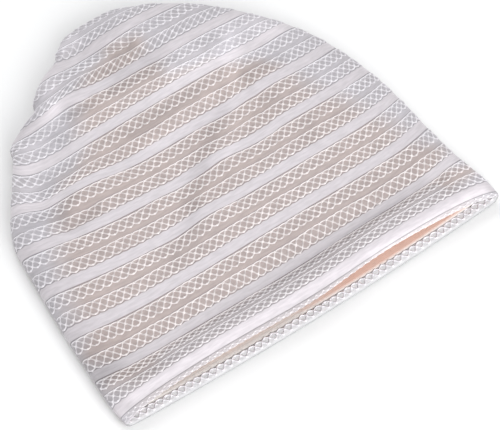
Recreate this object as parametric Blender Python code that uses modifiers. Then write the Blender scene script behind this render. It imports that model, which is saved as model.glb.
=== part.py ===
"""A slouchy chemo cap, lying empty on a table with its brim towards -Y and its crown towards +Y.

Two panels of the same fabric meet at one seam round the sides and the crown. Each panel is turned in
at the brim as a hem, and a lining bag starts where the turned hems end. Lengths are in metres.
"""
import math

import bmesh
import bpy
import numpy as np

# The cap as it lies: its width at the brim, its length from the brim's corners to the crown, how high
# the upper layer stands at its fullest, and how high the side seam lies over the table.
BRIM_WIDTH = 0.279
CAP_LENGTH = 0.246
FULLNESS = 0.030
SEAM_HEIGHT = 0.0066

# The cloth: the wall of the outer fabric and of the lining, and the small gap kept between pieces.
FABRIC = 0.0010
LINING = 0.0010
GAP = 0.0003

# The hem: the cloth is turned in round a narrow core and runs back inside the cap.
HEM_CORE = 0.0004
HEM_TURN = 0.0045
HEM_ROUND = FABRIC + HEM_CORE

# The lining is cut smaller than the cap, by this much on each side away from the brim, and comes in
# over this share of the length.
LINING_EASE = 0.0045
EASE_FADE = 0.07

# Where each layer's brim edge lies against the line between the brim's corners. The upper edge is drawn
# back evenly from corner to corner and sags forward in the middle, over this share of the half width.
# The lower edge bows out. Both fade over this share of the length.
FRONT_BACK = 0.0046
FRONT_EVENNESS = 8
FRONT_SAG = 0.0023
SAG_SPREAD = 0.33
BACK_BOW = 0.0038
BOW_FADE = 0.12

# The last strip of cloth at the seam stands upright, so that the panels' edges meet squarely.
SEAM_STRIP = 0.0007

# The cap's sections, from the brim to the crown. Height is a share of the length, the reaches are
# shares of half the width, and lift is the middle's height as a share of the fullness.
SECTIONS = (
    # height, left reach, right reach, lift
    (0.000, 0.992, 1.000, 0.50),
    (0.045, 1.000, 0.996, 0.55),
    (0.100, 0.996, 0.976, 0.67),
    (0.160, 0.990, 0.954, 0.79),
    (0.250, 0.980, 0.934, 0.90),
    (0.360, 0.963, 0.918, 0.97),
    (0.470, 0.942, 0.886, 1.00),
    (0.565, 0.918, 0.838, 1.00),
    (0.625, 0.866, 0.797, 0.99),
    (0.690, 0.785, 0.735, 0.97),
    (0.760, 0.698, 0.648, 0.94),
    (0.830, 0.581, 0.541, 0.88),
    (0.900, 0.409, 0.406, 0.78),
    (0.950, 0.278, 0.275, 0.66),
    (0.985, 0.191, 0.161, 0.47),
    (1.000, 0.146, 0.087, 0.33),
)

# Where the gathered side seam steps in or bulges out. Side is -1 for left and 1 for right, height and
# spread are shares of the length, and pull is a share of half the width, below zero for a bulge.
PUCKERS = (
    # side, height, pull, spread
    (-1, 0.800, -0.030, 0.020),
    (-1, 0.852, 0.055, 0.020),
    (-1, 0.915, -0.012, 0.016),
    (-1, 0.946, 0.030, 0.014),
)

# The folds pressed into the upper layer. Each is a valley between two points, whose across values are
# shares of half the width and up values shares of the length. Width is a share of the length and
# depth a share of the fullness. The groove above the brim runs nearly from side to side, and the
# lining follows it.
GROOVE = (
    # across, up, across, up, width, depth
    (-0.84, 0.090, 0.80, 0.104, 0.032, 0.40),
)
FOLDS = (
    # across, up, across, up, width, depth
    (-0.70, 0.500, -0.58, 0.508, 0.020, 0.14),
    (-0.56, 0.800, -0.30, 0.770, 0.022, 0.12),
    (-0.20, 0.940, 0.02, 0.860, 0.022, 0.12),
    (0.20, 0.540, -0.34, 0.300, 0.045, 0.07),
    (0.10, 0.780, 0.34, 0.700, 0.030, 0.06),
)

# How finely each piece is divided.
BRIM_ROWS = 9
BODY_ROWS = 15
CROWN_ROWS = 10
LINING_ROW_SKIP = 3
FRONT_COLUMNS = 34
BACK_COLUMNS = 14
LINING_COLUMNS = 18
TURN_STEPS = 3
ROUND_STEPS = 3

# The shares of the length where the rows above the brim end and where the crown's rows start.
BRIM_ZONE = 0.19
CROWN_ZONE = 0.75

# How square the upper layer's section is, where 2 is an ellipse, and the share of the length past
# which its columns, close together at the seam, spread evenly over the narrow crown.
SQUARENESS = 2.5
EVEN_START = 0.85

# Corners nearer to each other than this are one.
JOIN_DISTANCE = 0.00001

# The share of the length over which the outline's slant is measured.
SLANT_STEP = 0.01

STRIPED_COLOUR = (0.62, 0.57, 0.57)
LINING_COLOUR = (0.80, 0.52, 0.38)

# Where the lower layer starts to turn up at the crown, and where the lining ends before it.
BACK_CROWN = 1 - SEAM_HEIGHT / CAP_LENGTH
LINING_INSET = 2 * HEM_ROUND - FABRIC
LINING_START = (HEM_TURN + GAP) / CAP_LENGTH
LINING_END = 1 - 2 * (LINING_INSET + LINING) / CAP_LENGTH

TABLE = np.array(SECTIONS)


def along_sections(column, height):
    """One column of the sections at these heights, on a smooth curve that is finer near the crown."""
    stations = np.arcsin(TABLE[:, 0])
    values = TABLE[:, column]
    place = np.arcsin(np.clip(height, 0, 1))
    slopes = np.gradient(values, stations)
    i = np.clip(np.searchsorted(stations, place) - 1, 0, len(stations) - 2)
    span = stations[i + 1] - stations[i]
    u = (place - stations[i]) / span
    return ((2 * u**3 - 3 * u**2 + 1) * values[i] + (u**3 - 2 * u**2 + u) * span * slopes[i]
            + (3 * u**2 - 2 * u**3) * values[i + 1] + (u**3 - u**2) * span * slopes[i + 1])


def seam_reach(side, height):
    """How far the seam lies from the cap's middle line, to the left (-1) or to the right (1)."""
    reach = along_sections(1 if side < 0 else 2, height)
    for puckered, middle, pull, spread in PUCKERS:
        if puckered == side:
            reach = reach - pull * np.exp(-((height - middle) / spread) ** 2)
    return reach * BRIM_WIDTH / 2


def reaches(height, inset):
    """The reaches to the left and to the right of a section moved in from the seam by the inset.

    Where the outline slants, the way across is longer than the inset, by the slant's length."""
    inner = []
    for side in (-1, 1):
        ahead = np.minimum(height + SLANT_STEP, 1)
        behind = np.maximum(height - SLANT_STEP, 0)
        slant = (seam_reach(side, ahead) - seam_reach(side, behind)) / ((ahead - behind) * CAP_LENGTH)
        inner.append(seam_reach(side, height) - inset * np.hypot(1, slant))
    return inner


def fold_depth(x, y, folds):
    """How far these folds press the upper layer down at this place of the plan."""
    depth = np.zeros(np.broadcast(x, y).shape)
    for across_1, up_1, across_2, up_2, width, deep in folds:
        start = np.array((across_1 * BRIM_WIDTH / 2, up_1 * CAP_LENGTH))
        run = np.array((across_2 * BRIM_WIDTH / 2, up_2 * CAP_LENGTH)) - start
        share = np.clip(((x - start[0]) * run[0] + (y - start[1]) * run[1]) / (run @ run), 0, 1)
        away = np.hypot(x - start[0] - share * run[0], y - start[1] - share * run[1])
        depth = depth + deep * FULLNESS * np.exp(-(away / (width * CAP_LENGTH)) ** 2)
    return depth


def front_bow(height, side):
    """How far the upper layer comes forward near the brim: less than nothing, as it is drawn back."""
    drawn_back = FRONT_BACK * (1 - side**FRONT_EVENNESS)
    sag = FRONT_SAG * np.exp(-(side / SAG_SPREAD) ** 2)
    return (sag - drawn_back) * np.exp(-(height / BOW_FADE) ** 2)


def back_bow(height, side):
    """How far the lower layer comes forward near the brim: most in the middle, nothing at the corners."""
    return BACK_BOW * (1 - side**2) * np.exp(-(height / BOW_FADE) ** 2)


def front_points(height, inset, turn, folds):
    """Points of the upper layer. Turn runs over the section from -90 degrees at the left seam to 90 at
    the right one, and inset moves the section towards the inside of the cap."""
    left, right = reaches(height, inset)
    even = np.clip((height - EVEN_START) / (1 - EVEN_START), 0, 1) ** 2
    side = np.sign(turn) * np.abs(np.sin(turn)) ** (2 / SQUARENESS)
    side = side + even * (turn / (math.pi / 2) - side)
    rise = (1 - np.minimum(np.abs(side), 1) ** SQUARENESS) ** (1 / SQUARENESS)
    base = SEAM_HEIGHT + SEAM_STRIP
    middle = np.maximum(along_sections(3, height) * FULLNESS - base - inset, 0)
    x = (right - left) / 2 + (right + left) / 2 * side
    y = height * CAP_LENGTH
    pressed = rise * fold_depth(x, y, folds) * middle / (FULLNESS - base)
    return np.stack(np.broadcast_arrays(x, y - front_bow(height, side),
                                        base + rise * (middle - pressed)), -1)


def back_points(height, inset, lift, side, turn):
    """Points of the lower layer. Side runs over its flat part from -1 to 1, and turn is how far the
    cloth has turned up at the seam, from -90 degrees at the left to 90 at the right. Inset moves the
    section in from the seam, and lift raises its flat part over the table."""
    left, right = reaches(height, inset)
    past = np.clip((height - BACK_CROWN) / (1 - BACK_CROWN), 0, 1)
    base = SEAM_HEIGHT - SEAM_STRIP
    deep = base - lift
    flat = (right + left) / 2 - deep
    across = flat * side + deep * np.sin(turn)
    x = (right - left) / 2 + across
    whole = across / ((right + left) / 2)
    z = base - deep * np.cos(turn) * np.sqrt(1 - past**2)
    return np.stack(np.broadcast_arrays(x, height * CAP_LENGTH - back_bow(height, whole), z), -1)


def back_columns(count):
    """The lower layer's columns: the left turn-up, the flat part and the right turn-up."""
    turn_up = np.linspace(0, math.pi / 2, ROUND_STEPS + 1)[1:]
    flat = np.linspace(-1, 1, count - 2 * ROUND_STEPS + 1)
    side = np.concatenate([np.full(ROUND_STEPS, -1.0), flat, np.full(ROUND_STEPS, 1.0)])
    turn = np.concatenate([-turn_up[::-1], np.zeros(len(flat)), turn_up])
    return side, turn


def row_heights():
    """The rows' heights: close together above the brim, wider over the body, and closer and closer
    towards the crown, where the outline turns in."""
    brim = np.linspace(0, BRIM_ZONE, BRIM_ROWS + 1)
    body = np.linspace(BRIM_ZONE, CROWN_ZONE, BODY_ROWS + 1)
    crown = np.sin(np.linspace(math.asin(CROWN_ZONE), math.pi / 2, CROWN_ROWS + 1))
    return np.concatenate([brim[:-1], body[:-1], crown])


def hem_rows():
    """Height, inset and forward place of the hem's rows: the turned-in cloth, then the round turn."""
    turn_in = HEM_TURN / CAP_LENGTH
    bend = np.linspace(math.pi, 0, 2 * TURN_STEPS + 1)
    height = np.concatenate([(turn_in, turn_in / 2), np.zeros(len(bend))])
    inset = np.concatenate([np.full(2, 2 * HEM_ROUND), HEM_ROUND * (1 - np.cos(bend))])
    forward = np.concatenate([np.zeros(2), HEM_ROUND * np.sin(bend)])
    return height, inset, forward


def hemmed_layer(layer_points, heights, level):
    """A layer with its hem before it and an upright strip at the seam, whose edge is at this level."""
    height, inset, forward = hem_rows()
    height = np.concatenate([height, heights[1:]])[:, None]
    inset = np.concatenate([inset, np.zeros(len(heights) - 1)])[:, None]
    placed = layer_points(height, inset)
    placed[:len(forward), :, 1] -= forward[:, None]
    placed = np.concatenate([placed[:, :1], placed, placed[:, -1:]], 1)
    placed = np.concatenate([placed, placed[-1:]], 0)
    placed[:, 0, 2] = placed[:, -1, 2] = placed[-1, :, 2] = level
    return placed


def front_layer():
    """The upper layer's points, a row for each height and a column for each turn of the section."""
    turn = np.linspace(-math.pi / 2, math.pi / 2, FRONT_COLUMNS + 1)

    def points(height, inset):
        return front_points(height, inset, turn, GROOVE + FOLDS)
    return hemmed_layer(points, row_heights(), SEAM_HEIGHT + GAP / 2)


def back_layer():
    """The lower layer's points, with its last rows turned up to the seam at the crown."""
    side, turn = back_columns(BACK_COLUMNS)
    turn_up = np.linspace(0, math.pi / 2, ROUND_STEPS + 1)
    heights = row_heights()
    heights = np.concatenate([heights[heights < BACK_CROWN - SLANT_STEP],
                              BACK_CROWN + (1 - BACK_CROWN) * np.sin(turn_up)])

    def points(height, inset):
        return back_points(height, inset, inset, side, turn)
    return hemmed_layer(points, heights, SEAM_HEIGHT - GAP / 2)[:, ::-1]


def lining_layer():
    """The lining bag's points: each row goes over the upper side and back under the lower one."""
    turn = np.linspace(-math.pi / 2, math.pi / 2, LINING_COLUMNS + 1)
    side, back_turn = back_columns(LINING_COLUMNS)
    heights = row_heights()
    near = heights[(heights > LINING_START + SLANT_STEP) & (heights < BRIM_ZONE)]
    far = heights[(heights >= BRIM_ZONE) & (heights < LINING_END - SLANT_STEP)][::LINING_ROW_SKIP]
    heights = np.concatenate([(LINING_START,), near, far, (LINING_END,)])[:, None]
    ease = LINING_EASE * (1 - np.exp(-((heights - LINING_START) / EASE_FADE) ** 2))
    upper = front_points(heights, LINING_INSET + ease, turn, GROOVE)
    lower = back_points(heights, LINING_INSET + ease, LINING_INSET, side, back_turn)[:, ::-1]
    return np.concatenate([upper, lower, upper[:, :1]], 1)


def sheet(points):
    """A flat grid with each corner carried to its place in the row and column of these points."""
    rows, columns = points.shape[:2]
    bm = bmesh.new()
    bmesh.ops.create_grid(bm, x_segments=columns - 1, y_segments=rows - 1, size=1)
    for vertex in bm.verts:
        column = round((vertex.co.x + 1) / 2 * (columns - 1))
        row = round((vertex.co.y + 1) / 2 * (rows - 1))
        vertex.co = points[row, column]
    bmesh.ops.remove_doubles(bm, verts=bm.verts, dist=JOIN_DISTANCE)
    return bm


def close_crown(bm, columns):
    """Close a bag's far end: the last row's upper corners are joined to the lower ones facing them."""
    far = max(vertex.co.y for vertex in bm.verts)
    end = [edge for edge in bm.edges if edge.is_boundary
           and all(far - vertex.co.y < FABRIC for vertex in edge.verts)]
    bmesh.ops.holes_fill(bm, edges=end, sides=2 * columns + 2)


def cloth(name, bm, wall, material, parent):
    """A named piece of cloth: the sheet with its wall on the inner side."""
    mesh = bpy.data.meshes.new(name)
    bm.to_mesh(mesh)
    bm.free()
    mesh.shade_smooth()
    mesh.materials.append(material)
    piece = bpy.data.objects.new(name, mesh)
    thickness = piece.modifiers.new("wall", "SOLIDIFY")
    thickness.thickness = wall
    thickness.offset = -1
    thickness.use_even_offset = True
    piece.parent = parent
    parent.users_collection[0].objects.link(piece)
    return piece


def fabric_material(name, colour, roughness):
    """A matt cloth of one colour."""
    material = bpy.data.materials.new(name)
    material.use_nodes = True
    shader = material.node_tree.nodes["Principled BSDF"]
    shader.inputs["Base Color"].default_value = (*colour, 1)
    shader.inputs["Roughness"].default_value = roughness
    shader.inputs["Metallic"].default_value = 0
    shader.inputs["Sheen Weight"].default_value = 0.3
    return material


def build():
    """The whole cap, in a collection of its own, with its origin under its middle."""
    for thing in list(bpy.data.objects):
        bpy.data.objects.remove(thing)
    collection = bpy.data.collections.new("chemo_cap")
    bpy.context.scene.collection.children.link(collection)
    cap = bpy.data.objects.new("chemo_cap", None)
    cap.location.y = -(CAP_LENGTH - BACK_BOW - HEM_ROUND) / 2
    collection.objects.link(cap)

    striped = fabric_material("striped_net", STRIPED_COLOUR, 0.65)
    jersey = fabric_material("lining_jersey", LINING_COLOUR, 0.85)
    cloth("front_panel", sheet(front_layer()), FABRIC, striped, cap)
    cloth("back_panel", sheet(back_layer()), FABRIC, striped, cap)
    bag = sheet(lining_layer())
    close_crown(bag, LINING_COLUMNS)
    cloth("lining", bag, LINING, jersey, cap)


build()
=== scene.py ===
# %% [markdown]
# # A slouchy chemo cap in striped net
# A chemo cap is a soft, light hat that is worn against a bare head, so it has no hard seam on top and a
# smooth jersey lining inside. This one lies empty on a table. Its outer fabric is bought by the metre
# with its stripes already in it: a satin stripe, a strip of net, a plain sheer stripe and another net.
# The cells below follow the order in which one would make it: the shape first, then the stripes on the
# shape, then the threads of the net, and last the finishes, the light and the camera.

# %% The frame
import math

import bpy
import numpy as np
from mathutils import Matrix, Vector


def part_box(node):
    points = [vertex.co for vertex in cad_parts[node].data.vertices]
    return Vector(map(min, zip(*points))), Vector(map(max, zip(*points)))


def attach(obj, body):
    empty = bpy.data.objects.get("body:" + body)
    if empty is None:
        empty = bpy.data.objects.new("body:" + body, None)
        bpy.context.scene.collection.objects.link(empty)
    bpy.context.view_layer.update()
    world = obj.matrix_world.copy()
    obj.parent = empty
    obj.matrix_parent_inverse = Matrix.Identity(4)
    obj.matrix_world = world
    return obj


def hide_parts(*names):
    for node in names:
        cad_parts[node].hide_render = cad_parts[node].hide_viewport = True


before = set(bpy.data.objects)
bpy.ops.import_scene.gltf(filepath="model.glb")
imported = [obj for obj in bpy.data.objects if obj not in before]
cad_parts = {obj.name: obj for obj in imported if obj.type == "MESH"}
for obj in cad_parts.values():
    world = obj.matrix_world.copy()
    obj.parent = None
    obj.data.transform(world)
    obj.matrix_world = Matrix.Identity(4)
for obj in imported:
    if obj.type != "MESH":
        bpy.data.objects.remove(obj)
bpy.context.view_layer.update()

# %% [markdown]
# ## The shape, as sections
# A cap that lies flat is two panels sewn together round the edge. The upper panel could be sculpted or
# draped by simulation, but a cap that is lying still is easy to describe: at each height from the brim
# to the crown it has a reach to the left, a reach to the right and a lift in the middle. A short table
# of those sections and a smooth curve through them give every point, and the same table gives the solid
# model its shape, so the two agree. Heights are shares of the cap's length, reaches are shares of half
# the brim's width, and lifts are shares of the fullness. The puckers are small pulls and bulges of the
# left seam, near the crown.

# %% Sizes and sections
BRIM_WIDTH = 0.279
CAP_LENGTH = 0.246
FULLNESS = 0.030

SECTIONS = np.array((
    # height, left reach, right reach, lift
    (0.000, 0.992, 1.000, 0.50),
    (0.045, 1.000, 0.996, 0.55),
    (0.100, 0.996, 0.976, 0.67),
    (0.160, 0.990, 0.954, 0.79),
    (0.250, 0.980, 0.934, 0.90),
    (0.360, 0.963, 0.918, 0.97),
    (0.470, 0.942, 0.886, 1.00),
    (0.565, 0.918, 0.838, 1.00),
    (0.625, 0.866, 0.797, 0.99),
    (0.690, 0.785, 0.735, 0.97),
    (0.760, 0.698, 0.648, 0.94),
    (0.830, 0.581, 0.541, 0.88),
    (0.900, 0.409, 0.406, 0.78),
    (0.950, 0.278, 0.275, 0.66),
    (0.985, 0.191, 0.161, 0.47),
    (1.000, 0.146, 0.087, 0.33),
))
PUCKERS = (
    # side, height, pull, spread
    (-1, 0.800, -0.030, 0.020),
    (-1, 0.852, 0.055, 0.020),
    (-1, 0.915, -0.012, 0.016),
    (-1, 0.946, 0.030, 0.014),
)
BRIM_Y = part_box("front_panel")[1][1] - CAP_LENGTH
print("the brim's corners lie at y =", round(BRIM_Y, 4))

# %% [markdown]
# ### From a table to a curve
# Straight lines between the rows would leave corners in the outline, and a spline through all the rows
# can swing out between them. Here each stretch is its own cubic, and its slopes at both ends come from
# the neighbouring rows, so it stays close to the table. Near the crown the outline turns fast, and an
# arc sine spaces the rows out there. A bell curve adds what is local, such as a pucker.

# %% A smooth curve through a table
SLANT_STEP = 0.01


def along(table, column, place, stretch=np.arcsin):
    """A cubic through one column of a table, with each slope taken from the neighbouring rows. The
    stretch spaces the rows out where the column changes fastest."""
    stations, values = stretch(table[:, 0]), table[:, column]
    at = stretch(np.clip(place, table[0, 0], table[-1, 0]))
    slopes = np.gradient(values, stations)
    i = np.clip(np.searchsorted(stations, at) - 1, 0, len(stations) - 2)
    span = stations[i + 1] - stations[i]
    u = (at - stations[i]) / span
    return ((2 * u**3 - 3 * u**2 + 1) * values[i] + (u**3 - 2 * u**2 + u) * span * slopes[i]
            + (3 * u**2 - 2 * u**3) * values[i + 1] + (u**3 - u**2) * span * slopes[i + 1])


def bell(distance, spread):
    """1 at no distance, and beyond it e to the power of minus the square of distance over spread."""
    return np.exp(-(distance / spread) ** 2)


def seam_reach(side, height):
    """How far the seam lies from the middle line: the table's reach, less a bell for each pucker."""
    reach = along(SECTIONS, 1 if side < 0 else 2, height)
    for puckered, middle, pull, spread in PUCKERS:
        if puckered == side:
            reach = reach - pull * bell(height - middle, spread)
    return reach * BRIM_WIDTH / 2


def reaches(height, inset=0.0):
    """Left and right reach, moved in by an inset that is measured square to the outline. Sideways that is
    the inset times the square root of one plus the outline's slant squared."""
    ahead, behind = np.minimum(height + SLANT_STEP, 1), np.maximum(height - SLANT_STEP, 0)
    found = []
    for side in (-1, 1):
        slant = (seam_reach(side, ahead) - seam_reach(side, behind)) / ((ahead - behind) * CAP_LENGTH)
        found.append(seam_reach(side, height) - inset * np.hypot(1, slant))
    return found


print("widths up the cap:", [round(float(sum(reaches(np.array(height)))), 3) for height in (0.0, 0.5, 0.9)])

# %% [markdown]
# ## Folds and dents
# Soft cloth never lies in one smooth dome. Above the brim the two layers dip into a long groove, and the
# body has creases where the cap was gathered or pressed. They could be carved with a brush, but a short
# list of lines is easier to change: each is a valley, deepest on its line and fading sideways as a bell
# curve. The groove and the folds are in the solid model too. The creases are under 2 mm deep and are
# only in this one.

# %% The valleys
GROOVE = (
    # across, up, across, up, width, depth
    (-0.84, 0.090, 0.80, 0.104, 0.032, 0.40),
)
FOLDS = (
    # across, up, across, up, width, depth
    (-0.70, 0.500, -0.58, 0.508, 0.020, 0.14),
    (-0.56, 0.800, -0.30, 0.770, 0.022, 0.12),
    (-0.20, 0.940, 0.02, 0.860, 0.022, 0.12),
    (0.20, 0.540, -0.34, 0.300, 0.045, 0.07),
    (0.10, 0.780, 0.34, 0.700, 0.030, 0.06),
)
CREASES = (
    # across, up, across, up, width, depth
    (-0.72, 0.526, -0.58, 0.532, 0.010, 0.05),
    (-0.66, 0.800, -0.50, 0.760, 0.012, 0.06),
    (-0.64, 0.765, -0.52, 0.700, 0.012, 0.05),
    (-0.60, 0.830, -0.40, 0.800, 0.010, 0.05),
    (-0.30, 0.930, -0.10, 0.880, 0.012, 0.05),
    (0.36, 0.560, 0.30, 0.420, 0.016, 0.04),
    (0.80, 0.290, 0.74, 0.170, 0.014, 0.04),
)


def bells(x, y, table):
    """For a place of the plan, the sum over a table's lines of an amount times a bell of the distance."""
    total = np.zeros(np.broadcast(x, y).shape)
    for across_1, up_1, across_2, up_2, width, amount in table:
        start = np.array((across_1 * BRIM_WIDTH / 2, up_1 * CAP_LENGTH))
        run = np.array((across_2 * BRIM_WIDTH / 2, up_2 * CAP_LENGTH)) - start
        share = np.clip(((x - start[0]) * run[0] + (y - start[1]) * run[1]) / (run @ run), 0, 1)
        away = np.hypot(x - start[0] - share * run[0], y - start[1] - share * run[1])
        total = total + amount * bell(away, width * CAP_LENGTH)
    return total


def valley_depth(x, y, valleys):
    """How deep the valleys are at a place of the plan."""
    return FULLNESS * bells(x, y, valleys)


print("valleys:", len(GROOVE + FOLDS), "in both models and", len(CREASES), "creases in this one")

# %% [markdown]
# ## The hem and the opening
# At the brim the cloth is folded inwards, round a half circle 4.4 mm long, and runs on inside. A
# place on a panel is given by its distance from the brim's edge, and below zero it is on that hem. The
# upper edge isn't straight from corner to corner. It is drawn back along most of its width, sags
# forward in the middle, and gapes a little more at the right, where most of the lining shows. Each of
# these is one term of a sum, so each can be changed alone.

# %% The hem's path and the upper edge
HEM_ROUND = 0.0014
HEM_TURN = 0.0045
HEM_LENGTH = math.pi * HEM_ROUND + HEM_TURN
BOW_FADE = 0.12
FRONT_BACK = 0.0046
FRONT_EVENNESS = 8
FRONT_SAG = 0.0023
SAG_SPREAD = 0.33
GAPE = 0.0018
GAPE_SIDE = 0.40
GAPE_SPREAD = 0.30


def hem_path(v):
    """Height, inset and forward place of cloth at a distance v from the brim's edge. Past the edge the
    cloth goes round a half circle and then runs back inside the cap."""
    bend = np.clip(-v / HEM_ROUND, 0, math.pi)
    inside = np.maximum(-v - math.pi * HEM_ROUND, 0)
    height = np.where(v > 0, v, inside) / CAP_LENGTH
    return height, HEM_ROUND * (1 - np.cos(bend)), HEM_ROUND * np.sin(bend)


def front_bow(height, side):
    """How far the upper panel comes forward near the brim, or back where it is less than nothing: a bell
    for the sag, less the draw and the bell of the gape, and all of it fading up the cap as a bell."""
    draw = FRONT_BACK * (1 - side**FRONT_EVENNESS) + GAPE * bell(side - GAPE_SIDE, GAPE_SPREAD)
    return (FRONT_SAG * bell(side, SAG_SPREAD) - draw) * bell(height, BOW_FADE)


for label, side in (("in the middle", 0.0), ("where it gapes", GAPE_SIDE)):
    print(label, "the upper edge lies", round(-1000 * float(front_bow(0.0, side)), 1), "mm back")

# %% [markdown]
# ## The two panels as surfaces
# Each panel is a function that takes two numbers and gives a point, so the same function makes the mesh
# and later carries the threads. Over the table the upper panel is steep at the seam and broad on top,
# which half an ellipse isn't, so its section is an ellipse made squarer. The lower panel lies flat and
# turns up at its edge in a quarter circle. The two meet at the seam, 6.6 mm over the table.

# %% The upper and the lower panel
SEAM_HEIGHT = 0.0066
SEAM_STRIP = 0.0004
SQUARENESS = 2.5
BACK_BOW = 0.0038


def as_points(x, y, z):
    """Points from three arrays that may differ in shape, with y counted from the brim's corners."""
    return np.stack(np.broadcast_arrays(x, y + BRIM_Y, z), -1)


def section_height(side, height, plan, base, inset, valleys):
    """Height over the table on the upper side of a section. It rises from its base by the lift times
    (1 - side^n)^(1/n), and the valleys at that place of the plan press it down."""
    rise = (1 - np.minimum(np.abs(side), 1) ** SQUARENESS) ** (1 / SQUARENESS)
    lift = np.maximum(along(SECTIONS, 3, height) * FULLNESS - base - inset, 0)
    pressed = rise * valley_depth(*plan, valleys) * lift / (FULLNESS - base)
    return base + rise * (lift - pressed)


def front_surface(side, v):
    """The upper panel. Side runs from seam to seam, -1 to 1, and v from the brim's edge. Across, a place
    is the section's middle plus side times half its width."""
    height, inset, forward = hem_path(v)
    left, right = reaches(height, inset)
    x, y = (right - left) / 2 + (right + left) / 2 * side, height * CAP_LENGTH
    z = section_height(side, height, (x, y), SEAM_HEIGHT + SEAM_STRIP, inset, GROOVE + FOLDS + CREASES)
    return as_points(x, y - (forward + front_bow(height, side)), z)


def back_bow(height, share):
    """How far the lower panel comes forward near the brim: by one less the square of the share of the
    way to the seam, fading up the cap as a bell."""
    return BACK_BOW * (1 - share**2) * bell(height, BOW_FADE)


def back_surface(u, v):
    """The lower panel. Here u is the distance along the section from its middle. The panel lies flat and
    turns up at each side in a quarter circle, and turns up in the same way at the crown."""
    height, inset, forward = hem_path(v)
    left, right = reaches(height, inset)
    base = SEAM_HEIGHT - SEAM_STRIP
    deep = base - inset
    flat = (right + left) / 2 - deep
    turn = np.clip((np.abs(u) - flat) / deep, 0, math.pi / 2)
    across = np.sign(u) * (np.minimum(np.abs(u), flat) + deep * np.sin(turn))
    bow = back_bow(height, across / ((right + left) / 2))
    crown = 1 - SEAM_HEIGHT / CAP_LENGTH
    past = np.clip((height - crown) / (1 - crown), 0, 1)
    z = base - deep * np.cos(turn) * np.sqrt(1 - past**2)
    return as_points((right - left) / 2 + across, height * CAP_LENGTH - bow - forward, z)


halfway = front_surface(np.array(0.0), np.array(CAP_LENGTH / 2))
print("halfway up, the middle is", round(1000 * float(halfway[2]), 1), "mm over the table")

# %% [markdown]
# ## Where each stripe runs
# The stripes are woven straight, but the cap lies slightly turned and its left edge rolls under, so they
# bend towards the crown at the ends. Unrolling the panel as flat cloth would give their run for a stiff
# cloth, but this one stretches and slips. So a second table gives it: for places in the stripe's
# repeat, the height in the middle of the cap and how far the left and right ends lean. Whole numbers are
# the middles of the satin stripes. Between 1 and 2 the groove has swallowed some cloth, so those rows
# are closer together. The third table holds the rucks: places where the loose cloth has slipped up or
# down a little, so that the stripes waver there.

# %% The stripes' places
REPEAT = 0.0277
STRIPES = np.array((
    # repeat, height, left lean, left bend, right lean, in millimetres but for the bend
    (0.65, -5.2, 2.5, 8.0, 0.0),
    (0.86, 1.0, 2.5, 8.0, 0.0),
    (1.00, 5.4, 2.5, 8.0, 0.0),
    (1.14, 9.6, 2.5, 8.0, 0.5),
    (1.43, 16.0, 5.0, 8.0, 3.0),
    (1.59, 18.8, 6.5, 8.0, 5.0),
    (1.87, 24.2, 8.0, 8.0, 7.5),
    (2.00, 27.6, 8.5, 8.0, 8.0),
    (2.12, 29.7, 9.0, 7.5, 8.4),
    (2.43, 38.1, 10.2, 6.3, 9.3),
    (3.00, 54.1, 12.5, 4.0, 11.0),
    (4.00, 81.4, 17.0, 3.0, 10.5),
    (5.00, 109.4, 20.0, 3.0, 8.0),
    (6.00, 136.2, 21.5, 3.0, 8.0),
    (7.00, 166.6, 17.0, 8.0, 4.0),
    (8.00, 193.0, 6.0, 3.0, 3.0),
    (9.00, 223.4, 4.0, 3.0, 2.0),
    (10.00, 251.0, 4.0, 3.0, 2.0),
))
RIGHT_BEND = 6.0
RUCKS = (
    # repeat, side, shift in millimetres, repeats, sides
    (1.0, 0.40, -1.5, 0.9, 0.30),
    (4.0, -0.17, 2.2, 0.5, 0.12),
    (5.0, -0.19, -1.3, 0.5, 0.09),
    (5.0, 0.06, 1.4, 0.5, 0.08),
    (5.0, 0.27, -1.8, 0.5, 0.12),
    (6.0, -0.52, 2.6, 0.6, 0.14),
    (6.0, -0.80, -2.3, 0.5, 0.08),
    (6.0, 0.56, 1.2, 0.6, 0.16),
    (7.0, 0.66, -1.7, 0.5, 0.16),
    (8.0, -0.52, 4.2, 0.5, 0.20),
    (9.0, -0.50, -2.8, 0.4, 0.22),
)
HALVINGS = 24


def stripe_place(repeat, side):
    """Distance from the brim's edge of a point of the repeat: its height in the middle, plus a lean that
    grows as a power of the way to the seam, plus a bell for each ruck. The tables are in millimetres."""
    place, left_lean, left_bend, right_lean = (along(STRIPES, number, repeat, np.asarray)
                                               for number in (1, 2, 3, 4))
    far = np.abs(side)
    place = place + np.where(side < 0, left_lean * far**left_bend, right_lean * far**RIGHT_BEND)
    for middle, across, shift, repeats, sides in RUCKS:
        place = place + shift * bell(repeat - middle, repeats) * bell(side - across, sides)
    return place / 1000


def repeat_at(v, side):
    """The other way round: the repeat at a distance from the brim, found by halving an interval."""
    low, high = (np.full(np.broadcast(v, side).shape, end) for end in (STRIPES[0, 0], STRIPES[-1, 0]))
    for _ in range(HALVINGS):
        middle = (low + high) / 2
        below = stripe_place(middle, side) < v
        low, high = np.where(below, middle, low), np.where(below, high, middle)
    return (low + high) / 2


print("satin stripes at", [round(1000 * float(stripe_place(satin, 0.0))) for satin in range(1, 10)], "mm")
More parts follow.
